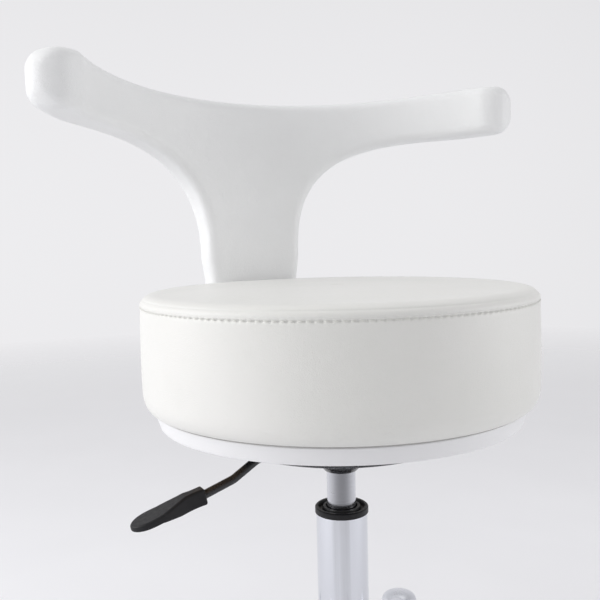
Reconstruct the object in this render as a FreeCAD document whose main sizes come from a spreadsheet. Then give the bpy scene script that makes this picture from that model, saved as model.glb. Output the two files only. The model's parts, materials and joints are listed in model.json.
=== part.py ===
"""Dentist stool: chrome five-star base, gas lift, round seat and wrap-around backrest.

Frame: millimetres, origin on the floor under the column axis, +Z up, the sitter
faces -Y and the backrest stands at +Y.  The stool is drawn at its lowest height.
"""
import FreeCAD
import Part

import math
import os

import Sketcher

from FreeCAD import Placement, Rotation, Vector

UP = Vector(0, 0, 1)
ORIGIN = Vector(0, 0, 0)

# ---------------------------------------------------------------- driving dimensions
DIMENSIONS = {
    # star base
    "castor_count": 5,
    "first_leg_angle": 42,
    "castor_circle": 243,
    "hub_radius": 33,
    "hub_bottom": 66,
    "hub_top": 124,
    "leg_end_bottom": 61,
    "leg_end_radius": 22,
    "leg_end_height": 84,
    "leg_end_width": 30,
    "leg_root_width": 44,
    "leg_root_bottom": 74,
    "leg_root_top": 118,
    "leg_wall": 3,
    # castors
    "wheel_radius": 25,
    "wheel_width": 16,
    "wheel_gap": 4,
    "axle_radius": 3,
    "castor_trail": 23,
    "spigot_length": 14,
    "castor_heading": -35,
    "stem_radius": 5.5,
    "stem_top": 80,
    "socket_depth": 21,
    # column and gas spring
    "tube_radius": 25,
    "tube_wall": 2,
    "tube_bottom": 58,
    "tube_top": 279,
    "collar_top": 285,
    "collar_groove": 22,
    "bush_length": 72,
    "cylinder_radius": 14,
    "cylinder_wall": 1.5,
    "cylinder_bottom": 96,
    "cylinder_top": 335,
    "rod_radius": 5,
    "rod_bottom": 52,
    "piston_bottom": 254,
    "piston_height": 12,
    "running_fit": 0.05,
    "clearance": 0.4,
    # mechanism under the seat
    "socket_bottom": 321,
    "socket_radius": 21,
    "pan_bottom": 355,
    "pan_radius": 111,
    "pan_wall": 2.5,
    "bolt_circle": 78,
    "bolt_radius": 3,
    "boss_radius": 14,
    "button_radius": 4,
    "lever_height": 345.5,
    "lever_radius": 4,
    "lever_pivot": 25,
    "pin_radius": 2,
    # seat
    "board_bottom": 377,
    "board_height": 15,
    "board_radius": 170,
    "band_wall": 3.5,
    "seat_radius": 185,
    "foam_foot": 179,
    "seat_top": 498.5,
    "rim_radius": 13,
    "cover_wall": 1.5,
    "stitch_height": 487,
    # backrest
    "pad_inner": 239,
    "pad_depth": 39.5,
    "tip_depth": 49,
    "pad_face": 187,
    "pad_angle": 65.5,
    "pad_top": 701.5,
    "pad_top_rise": 10.5,
    "arm_bottom": 658,
    "stem_bottom": 400,
    "stem_half_width": 49,
    "shoulder_half_width": 55,
    "stem_shoulder": 534,
    "stem_depth": 30,
    "arm_start": 196,
    "core_offset": 12,
    "core_wall": 10,
    "core_margin": 15,
    "bar_width": 50,
    "bar_wall": 5,
    "bar_front": 118,
    "bar_top": 560,
    "bar_bend": 20,
}

os.makedirs("parts", exist_ok=True)
doc = FreeCAD.newDocument("dentist_stool")
sheet = doc.addObject("Spreadsheet::Sheet", "Dims")
for row, (alias, number) in enumerate(DIMENSIONS.items(), start=1):
    sheet.set(f"A{row}", alias)
    sheet.set(f"B{row}", str(number))
    sheet.setAlias(f"B{row}", alias)
doc.recompute()

sub_parts = []


def dim(alias):
    """Number held in one cell of the sheet."""
    return float(sheet.get(alias))


def keep(part, label):
    """Name a finished sub-part, so that it is checked and exported."""
    part.Label = label
    sub_parts.append(part)
    return part


def solid_part(label, shape, placement=None):
    """Sub-part whose shape comes from Part's own functions."""
    part = doc.addObject("Part::Feature", label)
    part.Shape = shape
    part.Placement = placement or Placement()
    return keep(part, label)


def origin_plane(body, role):
    return next(item for item in body.Origin.OriginFeatures if item.Role == role)


def pin_point(sketch, edge, point, first, second):
    """Tie one sketch point to the origin by expressions of the sheet."""
    for kind, axis, expression in (("DistanceX", -2, first), ("DistanceY", -1, second)):
        value = float(sketch.evalExpression(expression))
        if abs(value) < 1e-9:
            sketch.addConstraint(Sketcher.Constraint("PointOnObject", edge, point, axis))
            continue
        number = sketch.addConstraint(Sketcher.Constraint(kind, -1, 1, edge, point, value))
        sketch.setExpression(f"Constraints[{number}]", expression)


def closed_outline(sketch, corners):
    """Closed run of straight edges through corners, each a pair of expressions."""
    points = [
        Vector(float(sketch.evalExpression(u)), float(sketch.evalExpression(v)), 0)
        for u, v in corners
    ]
    count = len(points)
    for index in range(count):
        sketch.addGeometry(Part.LineSegment(points[index], points[(index + 1) % count]), False)
    for index in range(count):
        sketch.addConstraint(Sketcher.Constraint("Coincident", index, 2, (index + 1) % count, 1))
        pin_point(sketch, index, 1, *corners[index])


def turned(label, profile):
    """Body of revolution about Z: profile corners are (radius, height) expressions."""
    body = doc.addObject("PartDesign::Body", label)
    sketch = body.newObject("Sketcher::SketchObject", f"{label}_profile")
    sketch.AttachmentSupport = [(origin_plane(body, "XZ_Plane"), "")]
    sketch.MapMode = "FlatFace"
    doc.recompute()
    closed_outline(sketch, profile)
    doc.recompute()
    revolution = body.newObject("PartDesign::Revolution", f"{label}_turn")
    revolution.Profile = sketch
    revolution.ReferenceAxis = (sketch, ["V_Axis"])
    revolution.Angle = 360
    doc.recompute()
    return keep(body, label)


def cylinder(radius, height, base, axis=UP):
    return Part.makeCylinder(radius, height, base, axis)


def box(low, high):
    size = high - low
    return Part.makeBox(size.x, size.y, size.z, low)


def ring_points(count, radius, first=0.0):
    for index in range(count):
        angle = math.radians(first + 360.0 * index / count)
        yield Vector(radius * math.cos(angle), radius * math.sin(angle), 0)


# ---------------------------------------------------------------- star base


def leg_section(distance, width, bottom, top):
    """Loaf-shaped section of a leg, square to the leg: flat foot, round back."""
    half = width / 2
    shoulder = top - 0.4 * width
    left_foot = Vector(distance, half, bottom)
    left_shoulder = Vector(distance, half, shoulder)
    crown = Vector(distance, 0, top)
    right_shoulder = Vector(distance, -half, shoulder)
    right_foot = Vector(distance, -half, bottom)
    return Part.Wire([
        Part.LineSegment(left_foot, left_shoulder).toShape(),
        Part.Arc(left_shoulder, crown, right_shoulder).toShape(),
        Part.LineSegment(right_shoulder, right_foot).toShape(),
        Part.LineSegment(right_foot, left_foot).toShape(),
    ])


def base_leg():
    """One leg along +X with its domed castor socket, not yet bored."""
    reach = dim("castor_circle")
    wall = dim("leg_wall")
    crown = dim("leg_end_height") - 4
    sections = [
        leg_section(10, dim("leg_root_width"), dim("leg_root_bottom"), dim("leg_root_top")),
        leg_section(reach, dim("leg_end_width"), dim("leg_end_bottom") + 4, crown),
    ]
    leg = Part.makeLoft(sections, True, True)
    hollow = Part.makeLoft([
        leg_section(dim("hub_radius") + 3, dim("leg_root_width") - 2 * wall - 2,
                    dim("leg_root_bottom") - 8, dim("leg_root_top") - wall - 4),
        leg_section(reach - dim("leg_end_radius") - 2, dim("leg_end_width") - 2 * wall,
                    dim("leg_end_bottom") - 8, crown - wall),
    ], True, True)
    end = Vector(reach, 0, dim("leg_end_bottom"))
    radius = dim("leg_end_radius")
    straight = dim("leg_end_height") - dim("leg_end_bottom") - radius / 2
    socket = cylinder(radius, straight, end)
    squash = FreeCAD.Matrix()
    squash.scale(1, 1, 0.5)
    dome = Part.makeSphere(radius, ORIGIN, UP, 0, 90, 360).transformGeometry(squash)
    dome.translate(end + UP * straight)
    return leg.cut(hollow).fuse([socket, dome])


def star_base_shape():
    hub_height = dim("hub_top") - dim("hub_bottom")
    hub = cylinder(dim("hub_radius"), hub_height, UP * dim("hub_bottom"))
    count = int(dim("castor_count"))
    legs = []
    bores = []
    for index in range(count):
        angle = dim("first_leg_angle") + 360.0 * index / count
        leg = base_leg()
        leg.rotate(ORIGIN, UP, angle)
        legs.append(leg)
    for spot in ring_points(count, dim("castor_circle"), dim("first_leg_angle")):
        foot = spot + UP * (dim("leg_end_bottom") - 1)
        bores.append(cylinder(dim("stem_radius"), dim("socket_depth") + 1, foot))
    bores.append(cylinder(dim("tube_radius"), hub_height + 60, UP * (dim("hub_bottom") - 30)))
    return hub.fuse(legs).cut(Part.makeCompound(bores)).removeSplitter()


solid_part("star_base", star_base_shape())

# ---------------------------------------------------------------- column and gas spring

turned("column_tube", [
    ("Dims.rod_radius + 6", "Dims.tube_bottom"),
    ("Dims.tube_radius", "Dims.tube_bottom"),
    ("Dims.tube_radius", "Dims.tube_top"),
    ("Dims.tube_radius - Dims.tube_wall", "Dims.tube_top"),
    ("Dims.tube_radius - Dims.tube_wall", "Dims.tube_bottom + 4"),
    ("Dims.rod_radius + 6", "Dims.tube_bottom + 4"),
])
turned("column_collar", [
    ("Dims.cylinder_radius + 1.5", "Dims.tube_top"),
    ("Dims.tube_radius + 1", "Dims.tube_top"),
    ("Dims.tube_radius + 1", "Dims.collar_top - 1"),
    ("Dims.tube_radius", "Dims.collar_top"),
    ("Dims.collar_groove + 1", "Dims.collar_top"),
    ("Dims.collar_groove", "Dims.collar_top - 3"),
    ("Dims.collar_groove - 3", "Dims.collar_top - 3"),
    ("Dims.collar_groove - 4", "Dims.collar_top"),
    ("Dims.cylinder_radius + 1.5", "Dims.collar_top"),
])
turned("guide_bush", [
    ("Dims.cylinder_radius + Dims.running_fit", "Dims.tube_top - Dims.bush_length"),
    ("Dims.tube_radius - Dims.tube_wall", "Dims.tube_top - Dims.bush_length"),
    ("Dims.tube_radius - Dims.tube_wall", "Dims.tube_top"),
    ("Dims.cylinder_radius + Dims.running_fit", "Dims.tube_top"),
])
turned("thrust_washer_lower", [
    ("Dims.rod_radius + 1", "Dims.tube_bottom + 4"),
    ("Dims.rod_radius + 9", "Dims.tube_bottom + 4"),
    ("Dims.rod_radius + 9", "Dims.tube_bottom + 6"),
    ("Dims.rod_radius + 1", "Dims.tube_bottom + 6"),
])


def ball_ring():
    """Ball cage of the thrust bearing with its balls in place."""
    bottom = dim("tube_bottom") + 6 + dim("clearance")
    height = 3.2
    middle = UP * (bottom + height / 2)
    outer = cylinder(dim("rod_radius") + 8, 1.6, middle - UP * 0.8)
    cage = outer.cut(cylinder(dim("rod_radius") + 1, 1.6, middle - UP * 0.8))
    balls = [
        Part.makeSphere(height / 2, middle + spot)
        for spot in ring_points(10, dim("rod_radius") + 4.5)
    ]
    return cage.fuse(balls)


solid_part("thrust_ball_cage", ball_ring())
turned("thrust_washer_upper", [
    ("Dims.rod_radius", "Dims.tube_bottom + 9.8"),
    ("Dims.rod_radius + 9", "Dims.tube_bottom + 9.8"),
    ("Dims.rod_radius + 9", "Dims.tube_bottom + 12"),
    ("Dims.rod_radius", "Dims.tube_bottom + 12"),
])
turned("end_bumper", [
    ("Dims.rod_radius", "Dims.tube_bottom + 12"),
    ("Dims.rod_radius + 6", "Dims.tube_bottom + 12"),
    ("Dims.rod_radius + 7", "Dims.tube_bottom + 20"),
    ("Dims.rod_radius + 5", "Dims.tube_bottom + 30"),
    ("Dims.rod_radius", "Dims.tube_bottom + 30"),
])
turned("rod_clip", [
    ("Dims.rod_radius - 1", "Dims.rod_bottom + 2"),
    ("Dims.rod_radius + 4", "Dims.rod_bottom + 2"),
    ("Dims.rod_radius + 4", "Dims.rod_bottom + 3.2"),
    ("Dims.rod_radius - 1", "Dims.rod_bottom + 3.2"),
])
turned("piston_rod", [
    ("0", "Dims.rod_bottom"),
    ("Dims.rod_radius", "Dims.rod_bottom"),
    ("Dims.rod_radius", "Dims.rod_bottom + 2"),
    ("Dims.rod_radius - 1", "Dims.rod_bottom + 2"),
    ("Dims.rod_radius - 1", "Dims.rod_bottom + 3.2"),
    ("Dims.rod_radius", "Dims.rod_bottom + 3.2"),
    ("Dims.rod_radius", "Dims.piston_bottom"),
    ("Dims.rod_radius - 1.5", "Dims.piston_bottom"),
    ("Dims.rod_radius - 1.5", "Dims.piston_bottom + Dims.piston_height + 3"),
    ("0", "Dims.piston_bottom + Dims.piston_height + 3"),
])
turned("piston", [
    ("Dims.rod_radius - 1.5", "Dims.piston_bottom"),
    ("Dims.cylinder_radius - Dims.cylinder_wall - 0.35", "Dims.piston_bottom"),
    ("Dims.cylinder_radius - Dims.cylinder_wall - 0.35", "Dims.piston_bottom + 4"),
    ("Dims.cylinder_radius - Dims.cylinder_wall - 2.5", "Dims.piston_bottom + 4"),
    ("Dims.cylinder_radius - Dims.cylinder_wall - 2.5", "Dims.piston_bottom + 8"),
    ("Dims.cylinder_radius - Dims.cylinder_wall - 0.35", "Dims.piston_bottom + 8"),
    ("Dims.cylinder_radius - Dims.cylinder_wall - 0.35", "Dims.piston_bottom + Dims.piston_height"),
    ("Dims.rod_radius - 1.5", "Dims.piston_bottom + Dims.piston_height"),
])
turned("piston_seal", [
    ("Dims.cylinder_radius - Dims.cylinder_wall - 2.5", "Dims.piston_bottom + 4"),
    ("Dims.cylinder_radius - Dims.cylinder_wall - Dims.running_fit", "Dims.piston_bottom + 4"),
    ("Dims.cylinder_radius - Dims.cylinder_wall - Dims.running_fit", "Dims.piston_bottom + 8"),
    ("Dims.cylinder_radius - Dims.cylinder_wall - 2.5", "Dims.piston_bottom + 8"),
])
turned("gas_cylinder", [
    ("Dims.cylinder_radius - 1.5 - 3", "Dims.cylinder_bottom"),
    ("Dims.cylinder_radius", "Dims.cylinder_bottom"),
    ("Dims.cylinder_radius", "Dims.cylinder_top"),
    ("Dims.button_radius + Dims.running_fit", "Dims.cylinder_top"),
    ("Dims.button_radius + Dims.running_fit", "Dims.cylinder_top - 10"),
    ("Dims.cylinder_radius - Dims.cylinder_wall", "Dims.cylinder_top - 10"),
    ("Dims.cylinder_radius - Dims.cylinder_wall", "Dims.cylinder_bottom + 2"),
    ("Dims.cylinder_radius - 1.5 - 3", "Dims.cylinder_bottom + 2"),
])
turned("rod_guide", [
    ("Dims.rod_radius + Dims.running_fit", "Dims.cylinder_bottom + 2"),
    ("Dims.cylinder_radius - Dims.cylinder_wall", "Dims.cylinder_bottom + 2"),
    ("Dims.cylinder_radius - Dims.cylinder_wall", "Dims.cylinder_bottom + 14"),
    ("Dims.rod_radius + Dims.running_fit", "Dims.cylinder_bottom + 14"),
])
turned("rod_seal", [
    ("Dims.rod_radius + Dims.running_fit", "Dims.cylinder_bottom + 14"),
    ("Dims.cylinder_radius - Dims.cylinder_wall", "Dims.cylinder_bottom + 14"),
    ("Dims.cylinder_radius - Dims.cylinder_wall", "Dims.cylinder_bottom + 19"),
    ("Dims.rod_radius + 2", "Dims.cylinder_bottom + 19"),
])
turned("release_button", [
    ("0", "Dims.cylinder_top - 9"),
    ("Dims.button_radius", "Dims.cylinder_top - 9"),
    ("Dims.button_radius", "Dims.lever_height - Dims.lever_radius - 0.8"),
    ("Dims.button_radius - 0.5", "Dims.lever_height - Dims.lever_radius - 0.3"),
    ("0", "Dims.lever_height - Dims.lever_radius - 0.3"),
])

# ---------------------------------------------------------------- mechanism under the seat


def mechanism_socket_shape():
    """Cast socket that grips the cylinder and carries the lever pivot."""
    bottom = dim("socket_bottom")
    top = dim("pan_bottom")
    radius = dim("socket_radius")
    foot = Part.makeCone(radius - 5, radius, 5, UP * bottom, UP)
    barrel = cylinder(radius, top - bottom - 5, UP * (bottom + 5))
    cheek_low = Vector(-dim("lever_pivot") - 8, -9, dim("lever_height") - 9)
    cheeks = box(cheek_low, Vector(0, 9, top))
    body = foot.fuse([barrel, cheeks])
    chamber = dim("cylinder_top")
    bore = cylinder(dim("cylinder_radius"), chamber - bottom, UP * bottom)
    room = cylinder(dim("cylinder_radius") - 2, top - chamber, UP * chamber)
    gap = dim("lever_radius") + dim("clearance")
    slot_low = Vector(-dim("lever_pivot") - 9, -gap, dim("lever_height") - dim("lever_radius") - 4)
    slot = box(slot_low, Vector(0, gap, top))
    pin_start = Vector(-dim("lever_pivot"), -9, dim("lever_height"))
    pin_bore = cylinder(dim("pin_radius"), 18, pin_start, Vector(0, 1, 0))
    return body.cut([bore, room, slot, pin_bore])


solid_part("mechanism_socket", mechanism_socket_shape())
pin_at = Vector(-dim("lever_pivot"), -9, dim("lever_height"))
solid_part("lever_pivot_pin", cylinder(dim("pin_radius"), 18, pin_at, Vector(0, 1, 0)))


def pan_profile(radius, bottom, top, corner):
    """Half section of a round tray with a rounded lower corner, as a face."""
    start = Vector(0, 0, bottom)
    corner_foot = Vector(radius - corner, 0, bottom)
    slant = corner * (1 - math.sqrt(0.5))
    corner_middle = Vector(radius - slant, 0, bottom + slant)
    corner_side = Vector(radius, 0, bottom + corner)
    rim = Vector(radius, 0, top)
    centre_top = Vector(0, 0, top)
    return Part.Face(Part.Wire([
        Part.LineSegment(start, corner_foot).toShape(),
        Part.Arc(corner_foot, corner_middle, corner_side).toShape(),
        Part.LineSegment(corner_side, rim).toShape(),
        Part.LineSegment(rim, centre_top).toShape(),
        Part.LineSegment(centre_top, start).toShape(),
    ]))


def bolt_spots():
    return list(ring_points(4, dim("bolt_circle"), 45))


def mounting_pan_shape():
    """Pressed steel tray with four raised bosses that meet the seat board."""
    bottom = dim("pan_bottom")
    top = dim("board_bottom")
    wall = dim("pan_wall")
    radius = dim("pan_radius")
    outside = pan_profile(radius, bottom, top, 5).revolve(ORIGIN, UP, 360)
    inside = pan_profile(radius - wall, bottom + wall, top, 2.5).revolve(ORIGIN, UP, 360)
    tray = outside.cut(inside)
    bosses = []
    pockets = []
    for spot in bolt_spots():
        bosses.append(cylinder(dim("boss_radius"), top - bottom, spot + UP * bottom))
        pocket_height = top - bottom - wall
        pockets.append(cylinder(dim("boss_radius") - wall, pocket_height, spot + UP * bottom))
        pockets.append(cylinder(dim("bolt_radius") + 0.3, top - bottom, spot + UP * bottom))
    return tray.fuse(bosses).cut(pockets).removeSplitter()


solid_part("mounting_pan", mounting_pan_shape())


def bolt(spot, seat, length, head_radius, head_height, hex_radius):
    """Round-headed bolt pointing up, its head under the height called seat."""
    head = Part.makeCone(head_radius * 0.8, head_radius, head_height, spot + UP * (seat - head_height))
    shank = cylinder(dim("bolt_radius"), length, spot + UP * seat)
    socket_wire = Part.makePolygon([
        spot + UP * (seat - head_height) + corner for corner in ring_points(6, hex_radius)
    ] + [spot + UP * (seat - head_height) + Vector(hex_radius, 0, 0)])
    socket = Part.Face(socket_wire).extrude(UP * (head_height * 0.6))
    return head.fuse(shank).cut(socket)


def washer(spot, seat, radius, height):
    disc = cylinder(radius, height, spot + UP * seat)
    return disc.cut(cylinder(dim("bolt_radius"), height, spot + UP * seat))


def tee_nut(spot):
    """Flanged nut pressed into the board from above."""
    board_top = dim("board_bottom") + dim("board_height")
    barrel = cylinder(dim("bolt_radius") + 1.2, 9, spot + UP * (board_top - 10))
    flange = cylinder(9, 1, spot + UP * (board_top - 1))
    bore = cylinder(dim("bolt_radius"), 10, spot + UP * (board_top - 10))
    return barrel.fuse(flange).cut(bore)


def bracket_spots():
    return [Vector(0, dim("bar_front") + offset, 0) for offset in (10, 32)]


washer_height = 1.2
pan_seat = dim("board_bottom") - dim("pan_wall") - washer_height
bracket_seat = dim("board_bottom") - dim("bar_wall")
board_top = dim("board_bottom") + dim("board_height")
solid_part("pan_bolts", Part.makeCompound([
    bolt(spot, pan_seat, board_top - pan_seat - 1, 5.5, 3.3, 2) for spot in bolt_spots()
]))
solid_part("pan_washers", Part.makeCompound([
    washer(spot, pan_seat, 7.5, washer_height) for spot in bolt_spots()
]))
solid_part("bracket_bolts", Part.makeCompound([
    bolt(spot, bracket_seat, board_top - bracket_seat - 1, 5.5, 3.3, 2) for spot in bracket_spots()
]))
solid_part("tee_nuts", Part.makeCompound([
    tee_nut(spot) for spot in bolt_spots() + bracket_spots()
]))

# ---------------------------------------------------------------- lever


def lever_rod_shape():
    """Round bar that dips under the seat band, its two bends as tangent arcs."""
    height = dim("lever_height")
    corners = [Vector(2, 0, height), Vector(-88, 0, height)]
    corners += [Vector(-113, 0, height - 15), Vector(-155, 0, height - 28.5)]
    bend = 14.0
    edges = []
    start = corners[0]
    for before, corner, after in zip(corners, corners[1:], corners[2:]):
        inward = (before - corner).normalize()
        outward = (after - corner).normalize()
        half_turn = (math.pi - inward.getAngle(outward)) / 2
        setback = bend * math.tan(half_turn)
        arc_start = corner + inward * setback
        arc_end = corner + outward * setback
        bisector = (inward + outward).normalize()
        centre = corner + bisector * (bend / math.cos(half_turn))
        edges.append(Part.LineSegment(start, arc_start).toShape())
        edges.append(Part.Arc(arc_start, centre - bisector * bend, arc_end).toShape())
        start = arc_end
    edges.append(Part.LineSegment(start, corners[-1]).toShape())
    path = Part.Wire(edges)
    section = Part.Wire(Part.makeCircle(dim("lever_radius"), corners[0], Vector(-1, 0, 0)))
    rod = path.makePipeShell([section], True, False)
    eye = Vector(-dim("lever_pivot"), -10, height)
    pin_fit = dim("pin_radius") + dim("running_fit")
    return rod.cut(cylinder(pin_fit, 20, eye, Vector(0, 1, 0)))


def paddle_shape():
    """Thumb paddle along +X: a thick grip round the rod, drawn out into a broad flat blade."""
    edge_radius = 2.0
    widths = [(0, 6.5), (20, 6.8), (34, 10.5), (50, 13), (62, 10.5), (69, 0)]
    low = -10
    near = [Vector(x, half, low) for x, half in widths]
    far = [Vector(x, -half, low) for x, half in reversed(widths)]
    outline = Part.BSplineCurve()
    outline.interpolate(near + far[1:])
    across = Part.LineSegment(far[-1], near[0])
    plan = Part.Face(Part.Wire([outline.toShape(), across.toShape()])).extrude(UP * 20)
    corners = [(0, 7.5), (18, 7.5), (42, 2.5), (70, -0.5), (70, -6), (44, -5), (26, -7.5), (0, -7.5)]
    points = [Vector(x, -20, z) for x, z in corners]
    side = Part.Face(Part.makePolygon(points + points[:1])).extrude(Vector(0, 40, 0))
    blade = plan.common(side)
    return blade.makeFillet(edge_radius, blade.Edges)


paddle_pitch = 11.8
paddle_start = Vector(-141, 0, dim("lever_height") - 24.2)
lever_rod = lever_rod_shape()
paddle = paddle_shape()
paddle_turn = Rotation(UP, 180).multiply(Rotation(Vector(0, 1, 0), paddle_pitch))
paddle.Placement = Placement(paddle_start, paddle_turn).multiply(paddle.Placement)
solid_part("lever_rod", lever_rod)
solid_part("lever_paddle", paddle.cut(lever_rod))

# ---------------------------------------------------------------- seat

turned("seat_band", [
    ("Dims.board_radius", "Dims.board_bottom"),
    ("Dims.board_radius + Dims.band_wall", "Dims.board_bottom"),
    ("Dims.board_radius + Dims.band_wall + 1.5", "Dims.board_bottom + Dims.board_height"),
    ("Dims.board_radius", "Dims.board_bottom + Dims.board_height"),
])


def seat_board_shape():
    board = cylinder(dim("board_radius"), dim("board_height"), UP * dim("board_bottom"))
    nuts = [tee_nut(spot) for spot in bolt_spots() + bracket_spots()]
    bores = [
        cylinder(dim("bolt_radius"), dim("board_height"), spot + UP * dim("board_bottom"))
        for spot in bolt_spots() + bracket_spots()
    ]
    return board.cut(Part.makeCompound(nuts)).cut(bores)


solid_part("seat_board", seat_board_shape())

turned("seat_foam", [
    ("0", "Dims.board_bottom + Dims.board_height"),
    ("Dims.foam_foot - Dims.cover_wall", "Dims.board_bottom + Dims.board_height"),
    ("Dims.seat_radius - Dims.cover_wall", "Dims.board_bottom + Dims.board_height + 18"),
    ("Dims.seat_radius - Dims.cover_wall", "Dims.stitch_height"),
    ("Dims.seat_radius - Dims.rim_radius", "Dims.seat_top - Dims.cover_wall"),
    ("0", "Dims.seat_top - Dims.cover_wall"),
])
turned("seat_cover_side", [
    ("Dims.foam_foot - Dims.cover_wall", "Dims.board_bottom + Dims.board_height"),
    ("Dims.foam_foot", "Dims.board_bottom + Dims.board_height"),
    ("Dims.seat_radius", "Dims.board_bottom + Dims.board_height + 18"),
    ("Dims.seat_radius", "Dims.stitch_height"),
    ("Dims.seat_radius - Dims.cover_wall", "Dims.stitch_height"),
    ("Dims.seat_radius - Dims.cover_wall", "Dims.board_bottom + Dims.board_height + 18"),
])
turned("seat_cover_top", [
    ("Dims.seat_radius - Dims.cover_wall", "Dims.stitch_height"),
    ("Dims.seat_radius", "Dims.stitch_height"),
    ("Dims.seat_radius - Dims.rim_radius + 2", "Dims.seat_top"),
    ("0", "Dims.seat_top"),
    ("0", "Dims.seat_top - Dims.cover_wall"),
    ("Dims.seat_radius - Dims.rim_radius", "Dims.seat_top - Dims.cover_wall"),
])

# ---------------------------------------------------------------- backrest
arc_centre = Vector(0, dim("pad_face") - dim("pad_inner"), 0)


def arm_tip(side):
    """Middle of the rounded end of one arm, seen from above."""
    angle = math.radians(90 - side * dim("pad_angle"))
    reach = dim("pad_inner") + dim("tip_depth") / 2
    return arc_centre + Vector(reach * math.cos(angle), reach * math.sin(angle), 0)


def outer_arc():
    """Centre and radius of the back surface: through the stem's back and behind both tips."""
    tip = arm_tip(1)
    back = dim("pad_face") + dim("pad_depth")
    cap = dim("tip_depth") / 2
    side = back - cap
    offset = (side ** 2 - tip.x ** 2 - tip.y ** 2) / (2 * (side - tip.y))
    return Vector(0, offset, 0), back - offset


def curved_slab(inner, outer, outer_centre, half_angle, bottom, top):
    """Upright slab bent about the sitter, its back surface with a centre of its own."""
    height = top - bottom
    hollow = cylinder(inner, height, arc_centre + UP * bottom)
    disc = cylinder(outer, height, outer_centre + UP * bottom)
    reach = 2 * outer
    angle = math.radians(90 - half_angle)
    edge = Vector(reach * math.cos(angle), reach * math.sin(angle), 0)
    corners = [arc_centre, arc_centre + edge, arc_centre + Vector(edge.x, reach, 0)]
    corners += [arc_centre + Vector(-edge.x, reach, 0), arc_centre + Vector(-edge.x, edge.y, 0)]
    wedge = Part.Face(Part.makePolygon(corners + corners[:1]))
    wedge.translate(UP * bottom)
    return disc.cut(hollow).common(wedge.extrude(UP * height))


def backrest_outline(margin):
    """Face of the T-shaped front view, drawn in by margin, standing in the XZ plane."""
    reach = 300
    crown = dim("pad_top") - margin
    tip_top = crown + dim("pad_top_rise")
    arm_bottom = dim("arm_bottom") + margin
    shoulder = dim("stem_shoulder")
    half_stem = dim("shoulder_half_width") - margin
    foot = dim("stem_half_width") - margin
    bottom = dim("stem_bottom") + margin
    arm_start = dim("arm_start") + margin / 2

    def fillet_curve(side):
        """Quarter ellipse from the stem's shoulder out to the arm's underside."""
        centre = Vector(side * arm_start, 0, shoulder)
        across = arm_start - half_stem
        rise = arm_bottom - shoulder
        long_axis, short_axis = max(across, rise), min(across, rise)
        ellipse = Part.Ellipse(centre + Vector(-side * long_axis, 0, 0), centre + UP * short_axis, centre)
        quarter = ellipse.toShape(0, math.pi / 2)
        return quarter

    left = [Vector(-half_stem, 0, shoulder), Vector(-arm_start, 0, arm_bottom)]
    right = [Vector(half_stem, 0, shoulder), Vector(arm_start, 0, arm_bottom)]
    lines = [
        (Vector(-foot, 0, bottom), left[0]),
        (left[1], Vector(-reach, 0, arm_bottom)),
        (Vector(-reach, 0, arm_bottom), Vector(-reach, 0, tip_top)),
        (Vector(reach, 0, tip_top), Vector(reach, 0, arm_bottom)),
        (Vector(reach, 0, arm_bottom), right[1]),
        (right[0], Vector(foot, 0, bottom)),
        (Vector(foot, 0, bottom), Vector(-foot, 0, bottom)),
    ]
    edges = [Part.LineSegment(*ends).toShape() for ends in lines]
    edges.append(Part.Arc(lines[2][1], Vector(0, 0, crown), lines[3][0]).toShape())
    edges += [fillet_curve(-1), fillet_curve(1)]
    return Part.Face(Part.Wire(Part.__sortEdges__(edges)))


def backrest_block(slab, margin):
    """The slab trimmed to the front view."""
    face = backrest_outline(margin)
    face.translate(Vector(0, -60, 0))
    return slab.common(face.extrude(Vector(0, 400, 0)))


def stem_relief():
    """Space behind the stem, which is thinner than the arms, tapering into them."""
    back = dim("pad_face") + dim("stem_depth")
    far = back + 60
    low = dim("stem_bottom") - 20
    knee = dim("stem_shoulder")
    top = dim("arm_bottom") - 5
    corners = [
        Vector(-150, back, low), Vector(-150, far, low), Vector(-150, far, top + 40),
        Vector(-150, back + 22, top), Vector(-150, back, knee),
    ]
    wire = Part.makePolygon(corners + corners[:1])
    return Part.Face(wire).extrude(Vector(300, 0, 0))


def bracket_shape():
    """Flat bar: bolted under the board, bent up behind the seat into the backrest."""
    half = dim("bar_width") / 2
    wall = dim("bar_wall")
    top_face = dim("board_bottom")
    front = dim("bar_front")
    back = dim("pad_face") + dim("core_offset") + dim("core_wall") + wall
    outer = dim("bar_bend")
    inner = outer - wall
    centre = Vector(-half, back - outer, top_face - wall + outer)
    diagonal = math.sqrt(0.5)
    heel = centre + Vector(0, diagonal, -diagonal) * outer
    instep = centre + Vector(0, diagonal, -diagonal) * inner
    top = dim("bar_top")
    edges = [
        Part.LineSegment(Vector(-half, front, top_face - wall), centre - UP * outer),
        Part.Arc(centre - UP * outer, heel, centre + Vector(0, outer, 0)),
        Part.LineSegment(centre + Vector(0, outer, 0), Vector(-half, back, top)),
        Part.LineSegment(Vector(-half, back, top), Vector(-half, back - wall, top)),
        Part.LineSegment(Vector(-half, back - wall, top), centre + Vector(0, inner, 0)),
        Part.Arc(centre + Vector(0, inner, 0), instep, centre - UP * inner),
        Part.LineSegment(centre - UP * inner, Vector(-half, front, top_face)),
        Part.LineSegment(Vector(-half, front, top_face), Vector(-half, front, top_face - wall)),
    ]
    side = Part.Face(Part.Wire([edge.toShape() for edge in edges]))
    bar = side.extrude(Vector(2 * half, 0, 0))
    bores = [
        cylinder(dim("bolt_radius"), wall + 2, spot + UP * (top_face - wall - 1))
        for spot in bracket_spots()
    ]
    return bar.cut(bores)


def core_screw_spots():
    back = dim("pad_face") + dim("core_offset") + dim("core_wall") + dim("bar_wall")
    return [
        Vector(across, back, height)
        for across in (-14, 14) for height in (450, 530)
    ]


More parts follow.
